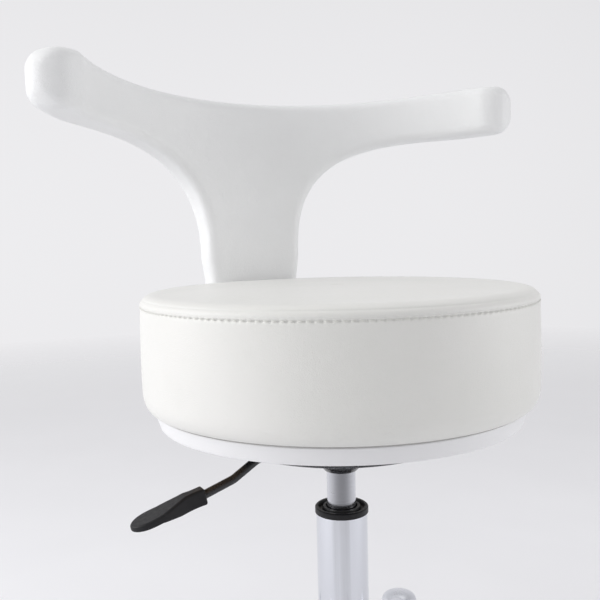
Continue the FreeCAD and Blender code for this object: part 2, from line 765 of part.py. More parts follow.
def core_screw(spot):
    """Screw from behind through the bar into the core."""
    forward = Vector(0, -1, 0)
    head = cylinder(4.5, 2.4, spot - forward * 2.4, forward)
    shank = cylinder(2.2, 12, spot, forward)
    return head.fuse(shank)


slab_low = dim("stem_bottom") - 10
slab_high = dim("pad_top") + dim("pad_top_rise") + 10
core_inner = dim("pad_inner") + dim("core_offset")
core_outer = core_inner + dim("core_wall")
core_angle = dim("pad_angle") - 4
core_slab = curved_slab(core_inner, core_outer, arc_centre, core_angle, slab_low, slab_high)
back_centre, back_radius = outer_arc()
pad_slab = curved_slab(dim("pad_inner"), back_radius, back_centre, dim("pad_angle"), slab_low, slab_high)
caps = [
    cylinder(dim("tip_depth") / 2, slab_high - slab_low, arm_tip(side) + UP * slab_low)
    for side in (-1, 1)
]
pad_slab = pad_slab.fuse(caps).removeSplitter()
bar = bracket_shape()
screws = Part.makeCompound([core_screw(spot) for spot in core_screw_spots()])
core = backrest_block(core_slab, dim("core_margin"))
core = core.cut(bar)
bar = bar.cut(screws)
core = core.cut(screws)
pad = backrest_block(pad_slab, 0)
pad = pad.cut(stem_relief()).cut(Part.makeCompound([core, bar, screws]))
solid_part("backrest_bracket", bar)
solid_part("core_screws", screws)
solid_part("backrest_core", core)
solid_part("backrest_pad", pad)

# ---------------------------------------------------------------- castors


def castor_stem(spot):
    """Steel stem with its shoulder, pressed into the leg's socket."""
    foot = dim("leg_end_bottom")
    stem = cylinder(dim("stem_radius"), dim("stem_top") - foot, spot + UP * foot)
    shoulder = cylinder(8, 2, spot + UP * (foot - 2))
    length = dim("spigot_length")
    spigot = cylinder(dim("stem_radius"), length, spot + UP * (foot - length))
    return stem.fuse([shoulder, spigot]).removeSplitter()


def castor_housing():
    """Hooded body of a twin-wheel castor: swivel axis on Z, wheels behind it at -X."""
    axle = Vector(-dim("castor_trail"), 0, dim("wheel_radius"))
    across = Vector(0, 1, 0)
    web_half = dim("wheel_gap") / 2 - dim("clearance")
    width = 2 * dim("wheel_width") + dim("wheel_gap") + 3
    hood_inner = dim("wheel_radius") + 2
    hood_outer = hood_inner + 2.5
    start = axle - across * (width / 2)
    hood = cylinder(hood_outer, width, start, across)
    hood = hood.cut(cylinder(hood_inner, width, start, across))
    low = Vector(-100, -50, -10)
    high = Vector(100, 50, dim("wheel_radius") + 2)
    hood = hood.cut(box(low, high))
    web = cylinder(hood_outer, 2 * web_half, axle - across * web_half, across)
    web = web.cut(box(Vector(-100, -50, -10), Vector(100, 50, 8)))
    neck_top = dim("leg_end_bottom") - 2 - dim("clearance")
    spigot_foot = dim("leg_end_bottom") - dim("spigot_length")
    neck_bottom = spigot_foot - 3
    neck = cylinder(10, neck_top - neck_bottom, UP * neck_bottom)
    wheel_space = cylinder(hood_inner, width, start, across)
    web_space = box(Vector(-100, -web_half, -10), Vector(100, web_half, 100))
    neck = neck.cut(wheel_space.cut(web_space))
    body = hood.fuse([web, neck])
    bore_radius = dim("stem_radius") + dim("running_fit")
    bore = cylinder(bore_radius, 40, UP * (spigot_foot - dim("clearance")))
    axle_bore = cylinder(dim("axle_radius"), width, start, across)
    return body.cut([bore, axle_bore]).removeSplitter()


def castor_axle():
    length = 2 * dim("wheel_width") + dim("wheel_gap") - 4
    start = Vector(-dim("castor_trail"), -length / 2, dim("wheel_radius"))
    return cylinder(dim("axle_radius"), length, start, Vector(0, 1, 0))


def castor_wheel(side):
    """One wheel of the pair: rounded tread, dished outer face."""
    across = Vector(0, side, 0)
    axle = Vector(-dim("castor_trail"), 0, dim("wheel_radius"))
    near = axle + across * (dim("wheel_gap") / 2)
    wheel = cylinder(dim("wheel_radius"), dim("wheel_width"), near, across)
    rims = [
        edge for edge in wheel.Edges
        if isinstance(edge.Curve, Part.Circle)
    ]
    wheel = wheel.makeFillet(2.5, rims)
    dish = Part.makeCone(11, 14, 3, near + across * (dim("wheel_width") - 3), across)
    bore_length = dim("wheel_width") - 2 + dim("clearance")
    bore = cylinder(dim("axle_radius") + dim("running_fit"), bore_length, near, across)
    return wheel.cut([dish, bore])


heading = Rotation(UP, dim("castor_heading"))
stems = []
legs = ring_points(int(dim("castor_count")), dim("castor_circle"), dim("first_leg_angle"))
for number, spot in enumerate(legs, start=1):
    place = Placement(spot, heading)
    stems.append(castor_stem(spot))
    solid_part(f"castor_{number}_housing", castor_housing(), place)
    solid_part(f"castor_{number}_axle", castor_axle(), place)
    pair = Part.makeCompound([castor_wheel(1), castor_wheel(-1)])
    solid_part(f"castor_{number}_wheels", pair, place)
solid_part("castor_stems", Part.makeCompound(stems))

# ---------------------------------------------------------------- check and export
doc.recompute()
faults = [item.Name for item in doc.Objects if {"Invalid", "Error"} & set(item.State)]
faults += [part.Label for part in sub_parts if part.Shape.isNull() or not part.Shape.isValid()]
if faults:
    raise RuntimeError(f"failed objects: {faults}")
for part in sub_parts:
    part.Shape.exportStep(f"parts/{part.Label}.step")
print(len(sub_parts), "sub-parts written")
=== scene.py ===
"""Looks of the dentist stool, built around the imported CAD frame.  Blender 4.5, metres."""

import json
import math

import bpy
import numpy as np
from mathutils import Matrix, Vector


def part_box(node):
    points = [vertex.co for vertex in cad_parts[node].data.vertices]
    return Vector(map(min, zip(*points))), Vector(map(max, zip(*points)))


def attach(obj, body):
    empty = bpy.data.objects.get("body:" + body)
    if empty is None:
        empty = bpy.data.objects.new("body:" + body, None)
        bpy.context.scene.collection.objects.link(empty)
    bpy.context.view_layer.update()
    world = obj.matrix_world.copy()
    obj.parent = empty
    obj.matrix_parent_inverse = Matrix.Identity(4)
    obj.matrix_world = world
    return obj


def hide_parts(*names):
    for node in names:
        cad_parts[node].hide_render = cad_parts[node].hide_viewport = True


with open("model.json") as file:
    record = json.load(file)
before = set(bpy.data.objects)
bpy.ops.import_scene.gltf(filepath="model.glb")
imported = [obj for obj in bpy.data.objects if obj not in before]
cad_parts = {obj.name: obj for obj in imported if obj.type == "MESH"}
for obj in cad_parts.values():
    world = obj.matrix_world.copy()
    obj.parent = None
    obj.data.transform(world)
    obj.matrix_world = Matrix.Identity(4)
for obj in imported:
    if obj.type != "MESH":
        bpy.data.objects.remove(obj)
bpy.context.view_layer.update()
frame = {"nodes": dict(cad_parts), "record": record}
nodes = frame["nodes"]

MM = 0.001

# The seat, as in the CAD model.
SEAT_RADIUS = 185 * MM
SEAT_FOOT_RADIUS = 178.5 * MM
SEAT_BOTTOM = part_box("seat_cover_side")[0].z
SEAT_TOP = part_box("seat_cover_top")[1].z
STITCH_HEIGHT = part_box("seat_cover_side")[1].z
SEAM_HEIGHT = STITCH_HEIGHT + 7.2 * MM
STITCH_COUNT = 180

# The backrest, as in the CAD model.
PAD_INNER = 239 * MM
PAD_FACE = 186.6 * MM
PAD_CENTRE_Y = PAD_FACE - PAD_INNER


# ---------------------------------------------------------------- materials


class Shader:
    """Small helper that wires up one procedural material."""

    def __init__(self, name, color, roughness, metallic=0.0, **sockets):
        self.material = bpy.data.materials.new(name)
        self.material.use_nodes = True
        self.tree = self.material.node_tree
        self.surface = self.tree.nodes["Principled BSDF"]
        self.surface.inputs["Base Color"].default_value = (*color, 1)
        self.surface.inputs["Roughness"].default_value = roughness
        self.surface.inputs["Metallic"].default_value = metallic
        for socket, value in sockets.items():
            self.surface.inputs[socket.replace("_", " ")].default_value = value
        self.place = self.node("ShaderNodeTexCoord").outputs["Object"]

    def node(self, kind, **settings):
        made = self.tree.nodes.new(kind)
        for name, value in settings.items():
            setattr(made, name, value)
        return made

    def link(self, source, target):
        self.tree.links.new(source, target)

    def noise(self, scale, detail=4.0, roughness=0.55):
        made = self.node("ShaderNodeTexNoise")
        self.link(self.place, made.inputs["Vector"])
        made.inputs["Scale"].default_value = scale
        made.inputs["Detail"].default_value = detail
        made.inputs["Roughness"].default_value = roughness
        return made.outputs["Fac"]

    def stretched_noise(self, scale, stretch, detail=3.0):
        """Noise drawn out along one or more axes."""
        mapping = self.node("ShaderNodeMapping")
        self.link(self.place, mapping.inputs["Vector"])
        mapping.inputs["Scale"].default_value = stretch
        made = self.node("ShaderNodeTexNoise")
        self.link(mapping.outputs["Vector"], made.inputs["Vector"])
        made.inputs["Scale"].default_value = scale
        made.inputs["Detail"].default_value = detail
        return made.outputs["Fac"]

    def cells(self, scale, feature="DISTANCE_TO_EDGE"):
        made = self.node("ShaderNodeTexVoronoi", feature=feature)
        self.link(self.place, made.inputs["Vector"])
        made.inputs["Scale"].default_value = scale
        return made.outputs["Distance"]

    def ramp(self, value, low, high, start, end):
        """Maps value from low..high to start..end, each a number or a colour."""
        if isinstance(start, tuple):
            made = self.node("ShaderNodeValToRGB")
            made.color_ramp.elements[0].position = low
            made.color_ramp.elements[0].color = (*start, 1)
            made.color_ramp.elements[1].position = high
            made.color_ramp.elements[1].color = (*end, 1)
            self.link(value, made.inputs["Fac"])
            return made.outputs["Color"]
        made = self.node("ShaderNodeMapRange")
        limits = {"From Min": low, "From Max": high, "To Min": start, "To Max": end}
        for socket, number in limits.items():
            made.inputs[socket].default_value = number
        self.link(value, made.inputs["Value"])
        return made.outputs["Result"]

    def vary_color(self, value, low, high, start, end):
        self.link(self.ramp(value, low, high, start, end), self.surface.inputs["Base Color"])

    def vary_roughness(self, value, low, high, start, end):
        self.link(self.ramp(value, low, high, start, end), self.surface.inputs["Roughness"])

    def bump(self, height, distance, strength=1.0):
        """Adds one layer of relief, its depth in metres."""
        made = self.node("ShaderNodeBump")
        made.inputs["Strength"].default_value = strength
        made.inputs["Distance"].default_value = distance
        self.link(height, made.inputs["Height"])
        normal = self.surface.inputs["Normal"]
        if normal.links:
            self.link(normal.links[0].from_socket, made.inputs["Normal"])
        self.link(made.outputs["Normal"], normal)


def vinyl(name, light, dark, roughness, grain_depth):
    """Soft white upholstery vinyl: pebbled grain, faint mottling, uneven sheen."""
    shader = Shader(name, light, roughness, Specular_IOR_Level=0.42, Sheen_Weight=0.08)
    shader.vary_color(shader.noise(9, 3), 0.35, 0.7, dark, light)
    shader.vary_roughness(shader.noise(260, 2), 0.3, 0.7, roughness - 0.05, roughness + 0.07)
    shader.bump(shader.cells(780), grain_depth, 0.9)
    shader.bump(shader.noise(420, 5), grain_depth * 1.4, 0.5)
    shader.bump(shader.noise(26, 2), grain_depth * 9, 0.12)
    return shader.material


def edge_band(name):
    """Smooth satin edge trim, almost without grain."""
    shader = Shader(name, (0.82, 0.82, 0.83), 0.3, Specular_IOR_Level=0.5)
    shader.vary_roughness(shader.noise(90, 3), 0.3, 0.7, 0.3, 0.38)
    shader.bump(shader.noise(900, 2), 0.00003, 0.3)
    return shader.material


def chrome(name):
    """Bright plating with the faint waviness, haze and drawn marks of polished tube, and a painted
    reflection that makes the colour darker where the tube faces the view and lighter towards its
    edges.
    """
    shader = Shader(name, (0.6, 0.61, 0.64), 0.12, 1.0)
    # Painted reflection: the facing term darkens the colour where the surface faces the view and
    # lightens it towards the edges; the stretched noise adds the drawn marks of the tube.
    edge_on = shader.node("ShaderNodeLayerWeight")
    edge_on.inputs["Blend"].default_value = 0.5
    streaks_and_painted_reflection = shader.node("ShaderNodeMath", operation="MULTIPLY_ADD")
    shader.link(shader.stretched_noise(170, (1, 1, 0.012)), streaks_and_painted_reflection.inputs[0])
    streaks_and_painted_reflection.inputs[1].default_value = 0.28
    shader.link(edge_on.outputs["Facing"], streaks_and_painted_reflection.inputs[2])
    shader.vary_color(streaks_and_painted_reflection.outputs["Value"], 0.09, 0.3, (0.46, 0.465, 0.48), (0.74, 0.755, 0.80))
    shader.vary_roughness(shader.noise(35, 4), 0.3, 0.75, 0.08, 0.16)
    shader.bump(shader.noise(60, 2), 0.00003, 0.5)
    return shader.material


def plated_casting(name):
    """Plating over a rougher ground: softer and hazier than on the tube."""
    shader = Shader(name, (0.71, 0.725, 0.77), 0.3, 1.0)
    shader.vary_roughness(shader.noise(40, 4), 0.3, 0.75, 0.26, 0.36)
    shader.bump(shader.noise(220, 3), 0.00005, 0.5)
    return shader.material


def turned_steel(name, color, roughness):
    """Ground steel, its fine marks running round the shaft, with a painted reflection that makes the
    colour darker where it faces the view and brighter towards its edges.
    """
    shader = Shader(name, color, roughness, 1.0)
    darker = tuple(0.6 * channel for channel in color)
    painted_edge_highlight = tuple(min(1.5 * channel, 0.95) for channel in color)
    # Painted reflection: the facing term darkens the colour where the surface faces the view and
    # brightens it towards the edges.
    edge_on = shader.node("ShaderNodeLayerWeight")
    edge_on.inputs["Blend"].default_value = 0.5
    shader.vary_color(edge_on.outputs["Facing"], 0.05, 0.6, darker, painted_edge_highlight)
    rings = shader.stretched_noise(40, (1, 1, 40))
    shader.vary_roughness(rings, 0.3, 0.7, roughness - 0.06, roughness + 0.08)
    shader.bump(rings, 0.00002, 0.5)
    return shader.material


def black_paint(name):
    """Glossy black powder coat with its slight orange peel."""
    shader = Shader(name, (0.010, 0.010, 0.012), 0.3, Coat_Weight=0.3, Coat_Roughness=0.15)
    shader.vary_roughness(shader.noise(180, 3), 0.3, 0.7, 0.22, 0.36)
    shader.bump(shader.noise(700, 2), 0.00012, 0.4)
    return shader.material


def moulded_plastic(name, color, roughness):
    """Textured moulding: fine spark grain and slight unevenness of tone."""
    shader = Shader(name, color, roughness, Specular_IOR_Level=0.3)
    darker = tuple(0.8 * channel for channel in color)
    shader.vary_color(shader.noise(30, 3), 0.3, 0.7, darker, color)
    shader.vary_roughness(shader.noise(300, 3), 0.3, 0.7, roughness - 0.06, roughness + 0.08)
    shader.bump(shader.noise(1500, 3), 0.00006, 0.6)
    return shader.material


def plywood(name):
    """Birch plywood with drawn-out grain."""
    shader = Shader(name, (0.62, 0.45, 0.27), 0.6)
    grain = shader.stretched_noise(22, (1, 9, 1), 6)
    shader.vary_color(grain, 0.3, 0.72, (0.42, 0.28, 0.15), (0.68, 0.5, 0.31))
    shader.bump(grain, 0.0003, 0.5)
    return shader.material


def rubber(name, color=(0.02, 0.02, 0.022)):
    """Dull black rubber with a fine tooth."""
    shader = Shader(name, color, 0.72)
    shader.vary_roughness(shader.noise(120, 4), 0.3, 0.7, 0.62, 0.82)
    shader.bump(shader.noise(900, 3), 0.00008, 0.6)
    return shader.material


def foam(name):
    """Open-celled cream foam; only seen where the cover is left off."""
    shader = Shader(name, (0.82, 0.76, 0.55), 0.9)
    shader.bump(shader.cells(500, "F1"), 0.0005, 0.7)
    return shader.material


MATERIALS = {
    "chrome": chrome("chrome_plate"),
    "bright_steel": turned_steel("bright_steel", (0.46, 0.465, 0.49), 0.2),
    "black_bolts": turned_steel("black_bolt_steel", (0.06, 0.06, 0.065), 0.38),
    "black_steel": black_paint("black_paint"),
    "black_plastic": moulded_plastic("black_plastic", (0.012, 0.012, 0.014), 0.46),
    "bush_plastic": moulded_plastic("bush_plastic", (0.72, 0.71, 0.67), 0.45),
    "rubber": rubber("black_rubber"),
    "seat_vinyl": vinyl("seat_vinyl", (0.80, 0.795, 0.77), (0.77, 0.77, 0.74), 0.42, 0.00018),
    "back_vinyl": vinyl("back_vinyl", (0.855, 0.86, 0.86), (0.83, 0.835, 0.835), 0.36, 0.00034),
    "band": edge_band("band_plastic"),
    "foam": foam("seat_foam"),
    "plywood": plywood("plywood"),
    "castor_plastic": moulded_plastic("castor_plastic", (0.02, 0.02, 0.022), 0.36),
    "castor_tyre": rubber("castor_tyre", (0.05, 0.05, 0.053)),
}


NODE_MATERIALS = {"star_base": plated_casting("chrome_base")}


def finish_cad_nodes():
    """Gives every CAD node its own material, or the one of its slot in the record."""
    for entry in frame["record"]["subparts"]:
        name = entry["node"]
        material = NODE_MATERIALS.get(name, MATERIALS[entry["material_slot"]])
        nodes[name].data.materials.clear()
        nodes[name].data.materials.append(material)


# ---------------------------------------------------------------- mesh helpers


def new_piece(name, points, faces, material, smooth=True):
    """Mesh object of its own, with one material."""
    mesh = bpy.data.meshes.new(name)
    mesh.from_pydata([tuple(p) for p in points], [], [tuple(f) for f in faces])
    mesh.validate()
    mesh.update()
    if smooth:
        mesh.shade_smooth()
    mesh.materials.append(material)
    piece = bpy.data.objects.new(name, mesh)
    bpy.context.collection.objects.link(piece)
    return piece


def turned_mesh(name, profile, columns, material, deform=None):
    """Closed surface turned about Z; profile runs from axis to axis, (radius, height)."""
    profile = np.asarray(profile, float)
    angles = np.arange(columns) * 2 * math.pi / columns
    inner = profile[1:-1]
    radius = np.repeat(inner[:, 0], columns)
    height = np.repeat(inner[:, 1], columns)
    angle = np.tile(angles, len(inner))
    if deform:
        radius, height = deform(radius, height, angle)
    rings = np.stack([radius * np.cos(angle), radius * np.sin(angle), height], 1)
    points = np.vstack([[0, 0, profile[0, 1]], rings, [0, 0, profile[-1, 1]]])
    faces = []
    last = len(points) - 1
    for row in range(len(inner) - 1):
        for column in range(columns):
            after = (column + 1) % columns
            low = 1 + row * columns
            faces.append((low + column, low + after, low + columns + after, low + columns + column))
    top = 1 + (len(inner) - 1) * columns
    for column in range(columns):
        after = (column + 1) % columns
        faces.append((0, 1 + after, 1 + column))
        faces.append((last, top + column, top + after))
    return new_piece(name, points, faces, material)


def round_join(first, second, radius):
    """Intersection of two fields, its edge rounded to radius."""
    corner = np.hypot(np.maximum(first + radius, 0), np.maximum(second + radius, 0))
    return np.minimum(np.maximum(first, second), -radius) + corner


def smooth_step(value):
    """0 to 1 with a soft start and end."""
    value = np.clip(value, 0, 1)
    return value * value * (3 - 2 * value)


def field_surface(field, low, high, cell):
    """Quad mesh of the surface where field is zero, negative inside (surface nets)."""
    axes = [np.arange(a, b + cell, cell) for a, b in zip(low, high)]
    grid = np.stack(np.meshgrid(*axes, indexing="ij"), -1)
    values = field(grid.reshape(-1, 3)).reshape(grid.shape[:3])
    inside = values < 0
    cells = tuple(size - 1 for size in values.shape)
    total = np.zeros(cells + (3,))
    count = np.zeros(cells)
    corners = [(i, j, k) for i in (0, 1) for j in (0, 1) for k in (0, 1)]
    window = [
        tuple(slice(offset, offset + size) for offset, size in zip(corner, cells))
        for corner in corners
    ]
    for a in range(8):
        for b in range(a + 1, 8):
            if sum(abs(p - q) for p, q in zip(corners[a], corners[b])) != 1:
                continue
            first, second = values[window[a]], values[window[b]]
            crossed = (first < 0) != (second < 0)
            share = np.where(crossed, first / np.where(crossed, first - second, 1), 0)[..., None]
            point = grid[window[a]] * (1 - share) + grid[window[b]] * share
            total += np.where(crossed[..., None], point, 0)
            count += crossed
    used = count > 0
    number = np.full(cells, -1)
    number[used] = np.arange(used.sum())
    points = total[used] / count[used][:, None]
    faces = []
    for axis in range(3):
        ahead = [slice(None)] * 3
        behind = [slice(None)] * 3
        ahead[axis] = slice(1, None)
        behind[axis] = slice(None, -1)
        for flip in (False, True):
            edge = inside[tuple(behind)] & ~inside[tuple(ahead)]
            if flip:
                edge = ~inside[tuple(behind)] & inside[tuple(ahead)]
            spots = np.argwhere(edge)
            u, v = (axis + 1) % 3, (axis + 2) % 3
            ring = []
            for step_u, step_v in ((-1, -1), (0, -1), (0, 0), (-1, 0)):
                spot = spots.copy()
                spot[:, u] += step_u
                spot[:, v] += step_v
                ring.append(number[tuple(spot.T)])
            quad = np.stack(ring if not flip else ring[::-1], 1)
            faces.append(quad)
    faces = np.vstack(faces)
    for _ in range(4):
        points = settle(field, points, cell)
    return points, faces


def settle(field, points, cell):
    """One Newton step that brings points onto the surface of the field."""
    step = cell * 0.05
    value = field(points)
    slope = np.stack([
        (field(points + offset) - field(points - offset)) / (2 * step)
        for offset in np.eye(3) * step
    ], 1)
    steep = np.maximum((slope ** 2).sum(1), 0.05)
    move = slope * (value / steep)[:, None]
    length = np.linalg.norm(move, axis=1)
    limit = np.minimum(1, cell / np.maximum(length, 1e-12))
    return points - move * limit[:, None]


# ---------------------------------------------------------------- seat


def seat_profile():
    """Half section of the upholstered seat, from the axis underneath to the axis on top."""
    gap = 1.3 * MM
    profile = [(0, SEAT_BOTTOM + gap)]
    for radius in np.linspace(0.02, SEAT_FOOT_RADIUS - 6 * MM, 8):
        profile.append((radius, SEAT_BOTTOM + gap))
    swell_height = 18 * MM
    swell_reach = 8.5 * MM
    for turn in np.linspace(-1.35, 0, 15):
        radius = SEAT_RADIUS - swell_reach + swell_reach * math.cos(turn)
        profile.append((radius, SEAT_BOTTOM + gap + (swell_height - gap) * (1 + math.sin(turn))))
    wall_start = SEAT_BOTTOM + swell_height
    for share in np.linspace(0, 1, 17)[1:-1]:
        profile.append((SEAT_RADIUS, wall_start + share * (STITCH_HEIGHT - 4 * MM - wall_start)))
    rim_low = STITCH_HEIGHT + 2 * MM
    for height in np.arange(STITCH_HEIGHT - 4 * MM, rim_low, 0.5 * MM):
        profile.append((SEAT_RADIUS, height))
    rim_reach = 14 * MM
    flat = SEAT_RADIUS - rim_reach
    for turn in np.linspace(0, math.pi / 2, 44):
        rise = (SEAT_TOP - rim_low) * math.sin(turn)
        profile.append((flat + rim_reach * math.cos(turn), rim_low + rise))
    for share in np.linspace(1, 0, 24)[1:-1]:
        profile.append((flat * share, SEAT_TOP))
    profile.append((0, SEAT_TOP))
    return profile


def seat_swell(radius, height, angle):
    """Fills the plain section out: crown, soft wall, seam creases and stitch puckers."""
    wall = smooth_step((radius - 0.16) / (15 * MM))
    span = (height - SEAT_BOTTOM) / (STITCH_HEIGHT - SEAT_BOTTOM)
    lazy = 0.35 * np.sin(3 * angle + 0.6) + 0.25 * np.sin(7 * angle + 2.1) + 0.15 * np.sin(13 * angle)
    bulge = np.sin(math.pi * np.clip(span, 0, 1)) * (0.9 + 0.35 * lazy)
    stitch = np.exp(-((height - STITCH_HEIGHT) / (0.95 * MM)) ** 2)
    hole = 0.5 + 0.5 * np.cos(STITCH_COUNT * angle)
    pucker = np.exp(-((height - STITCH_HEIGHT) / (3.2 * MM)) ** 2)
    seam = np.exp(-((height - SEAM_HEIGHT) / (0.8 * MM)) ** 2)
    lip = np.exp(-((height - STITCH_HEIGHT - 3.6 * MM) / (2.2 * MM)) ** 2)
    creases = stitch * (0.4 + 1.05 * hole ** 6) + pucker * (0.2 + 0.12 * hole) + 0.55 * seam
    shift = bulge - creases + 0.3 * lip
    radius = radius + wall * shift * MM
    top = height > SEAT_TOP - 6 * MM
    inward = np.clip(1 - radius / (SEAT_RADIUS - 10 * MM), 0, 1)
    crown = 2.6 * smooth_step(inward * 1.6) + 0.25 * lazy * np.sin(math.pi * inward)
    height = height + np.where(top, crown, 0) * MM
    return radius, height


def make_seat():
    """The upholstered cushion, its stitches and the band under it."""
    cushion = turned_mesh(
        "seat_cushion", seat_profile(), STITCH_COUNT * 6, MATERIALS["seat_vinyl"], seat_swell
    )
    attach(cushion, "seat")
    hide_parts("seat_cover_side", "seat_cover_top", "seat_foam")
    make_stitches()
    make_band()


def make_stitches():
    """Short raised threads between the needle holes of the top-stitched seam."""
    thread = Shader("seat_thread", (0.74, 0.74, 0.70), 0.6)
    thread.bump(thread.noise(3000, 2), 0.00005, 0.6)
    points = []
    faces = []
    sides = 6
    steps = 5
    pitch = 2 * math.pi / STITCH_COUNT
    half = 0.33 * pitch
    for index in range(STITCH_COUNT):
        middle = (index + 0.5) * pitch
        start = len(points)
        for step in range(steps):
            along = step / (steps - 1) * 2 - 1
            angle = middle + half * along
            girth = 0.36 * MM * math.sqrt(max(1 - along ** 4, 0.05))
            radius = SEAT_RADIUS + (0.05 - 0.55 * along ** 4) * MM
            for side in range(sides):
                turn = 2 * math.pi * side / sides
                r = radius + girth * math.cos(turn)
                z = STITCH_HEIGHT + girth * math.sin(turn)
                points.append((r * math.cos(angle), r * math.sin(angle), z))
        for step in range(steps - 1):
            for side in range(sides):
                after = (side + 1) % sides
                low = start + step * sides
                faces.append((low + side, low + sides + side, low + sides + after, low + after))
        faces.append(tuple(start + side for side in range(sides)))
        faces.append(tuple(start + (steps - 1) * sides + side for side in reversed(range(sides))))
    stitches = new_piece("seat_stitches", points, faces, thread.material)
    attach(stitches, "seat")


def make_band():
    """White edge band under the cushion, its corners rolled over the board."""
    low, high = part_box("seat_band")
    outer = high.x
    bottom, top = low.z - 0.2 * MM, high.z
    inner = outer - 8 * MM
    roll = 1.5 * MM
    foot = outer - 4 * MM - roll
    section = [(inner, bottom)]
    for turn in np.linspace(-math.pi / 2, 0, 7):
        section.append((foot + roll * math.cos(turn), bottom + roll + roll * math.sin(turn)))
    for turn in np.linspace(0, math.pi / 2, 7):
        section.append((outer - roll + roll * math.cos(turn), top - roll + roll * math.sin(turn)))
    section.append((inner, top))
    columns = 360
    points = []
    for column in range(columns):
        angle = 2 * math.pi * column / columns
        points += [(r * math.cos(angle), r * math.sin(angle), z) for r, z in section]
    count = len(section)
    faces = []
    for column in range(columns):
        here = column * count
        there = (column + 1) % columns * count
        for step in range(count):
            after = (step + 1) % count
            faces.append((here + step, there + step, there + after, here + after))
    band = new_piece("seat_edge_band", points, faces, MATERIALS["band"])
    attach(band, "seat")
    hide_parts("seat_band")
    # Painted shadow: a dark grey cord laid in the gap between cushion and band stands in for the
    # shade in that crease.
    painted_gap_shadow = Shader("shadow_gap", (0.42, 0.41, 0.40), 0.9)
    painted_gap_shadow.bump(painted_gap_shadow.noise(600, 3), 0.0001, 0.6)
    turns = np.linspace(0, 2 * math.pi, 240, endpoint=False)
    middle = outer - 0.5 * MM
    level = np.full(len(turns), top + 0.5 * MM)
    path = np.stack([middle * np.cos(turns), middle * np.sin(turns), level], 1)
    ring = tube_along("seat_gap_painted_shadow_cord", path, 0.9 * MM, painted_gap_shadow.material)
    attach(ring, "seat")


# ---------------------------------------------------------------- backrest
PAD_LOW, PAD_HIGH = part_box("backrest_pad")
PAD_TIP_ANGLE = math.radians(70.8)
PAD_REACH = PAD_TIP_ANGLE * PAD_INNER
TOP_HEIGHTS = [701.6 * MM, 703.3 * MM, 706.5 * MM, 710.1 * MM, 709.6 * MM]
TOP_SHARES = [0, 0.3, 0.55, 0.8, 1.0]
ARM_BOTTOM = 657.4 * MM
TIP_BOTTOM = 659.3 * MM
STEM_SHOULDER = 524 * MM
STEM_HALF_WIDTH = 48.8 * MM
SHOULDER_HALF_WIDTH = 56.6 * MM
ARM_START = 234.6 * MM
SWEEP_POWER = 2 / 2.77
TIP_DEPTH = 48.9 * MM
ARM_DEPTH = 39.5 * MM
STEM_DEPTH = 33 * MM
FRONT_ROUND = 10 * MM
BACK_ROUND = 18 * MM


def backrest_outline():
    """Right half of the flattened front view, (distance along the curve, height)."""
    far = PAD_REACH + 0.08
    points = [(-0.02, PAD_LOW.z), (STEM_HALF_WIDTH - 8 * MM, PAD_LOW.z)]
    points.append((STEM_HALF_WIDTH - 1 * MM, PAD_LOW.z + 9 * MM))
    for share in np.linspace(0.15, 0.95, 8):
        spread = STEM_HALF_WIDTH - 1 * MM
        spread += (SHOULDER_HALF_WIDTH - spread) * share ** 2
        points.append((spread, PAD_LOW.z + (STEM_SHOULDER - PAD_LOW.z) * share))
    for turn in np.linspace(0, math.pi / 2, 40):
        across = (ARM_START - SHOULDER_HALF_WIDTH) * max(math.cos(turn), 0) ** SWEEP_POWER
        rise = (ARM_BOTTOM - STEM_SHOULDER) * math.sin(turn) ** SWEEP_POWER
        points.append((ARM_START - across, STEM_SHOULDER + rise))
    points += [(PAD_REACH, TIP_BOTTOM), (far, TIP_BOTTOM)]
    shares = [-x for x in TOP_SHARES[:0:-1]] + TOP_SHARES
    heights = TOP_HEIGHTS[:0:-1] + TOP_HEIGHTS
    curve = np.polyfit(shares, heights, 6)
    for along in np.linspace(far, -0.02, 60):
        points.append((along, np.polyval(curve, min(abs(along) / PAD_REACH, 1.05))))
    return np.array(points)


def distance_to_outline(outline, spots):
    """Signed distance of flat spots from a closed outline, negative inside."""
    ends = np.roll(outline, -1, 0)
    best = np.full(len(spots), np.inf)
    odd = np.zeros(len(spots), bool)
    for start, end in zip(outline, ends):
        run = end - start
        share = np.clip(((spots - start) @ run) / (run @ run + 1e-18), 0, 1)
        gap = np.linalg.norm(spots - start - share[:, None] * run, axis=1)
        best = np.minimum(best, gap)
        across = (start[1] > spots[:, 1]) != (end[1] > spots[:, 1])
        rise = np.where(abs(run[1]) < 1e-12, 1e-12, run[1])
        odd ^= across & (spots[:, 0] < start[0] + run[0] * (spots[:, 1] - start[1]) / rise)
    return np.where(odd, -best, best)


class FlatMap:
    """Distance to the outline, sampled once on a grid and read back smoothly."""

    def __init__(self, outline, step):
        self.step = step
        self.low = np.array([0, PAD_LOW.z - 0.03])
        self.size = (int((PAD_REACH + 0.06) / step), int((PAD_HIGH.z + 0.03 - self.low[1]) / step))
        u, v = np.meshgrid(*(np.arange(n) for n in self.size), indexing="ij")
        spots = np.stack([u.ravel(), v.ravel()], 1) * step + self.low
        self.values = distance_to_outline(outline, spots).reshape(self.size)

    def read(self, along, height):
        u = np.clip((np.abs(along) - self.low[0]) / self.step, 0, self.size[0] - 1.001)
        v = np.clip((height - self.low[1]) / self.step, 0, self.size[1] - 1.001)
        i, j = u.astype(int), v.astype(int)
        a, b = u - i, v - j
        grid = self.values
        near = grid[i, j] * (1 - a) + grid[i + 1, j] * a
        far = grid[i, j + 1] * (1 - a) + grid[i + 1, j + 1] * a
        return near * (1 - b) + far * b


def pad_thickness(along, height):
    """Full thickness: thin stem, thicker arms, thickest at the tips."""
    reach = np.abs(along) / PAD_REACH
    arm = ARM_DEPTH + (TIP_DEPTH - ARM_DEPTH) * smooth_step((reach - 0.3) / 0.6)
    lift = smooth_step((height - STEM_SHOULDER + 30 * MM) / (120 * MM))
    return STEM_DEPTH + (arm - STEM_DEPTH) * lift


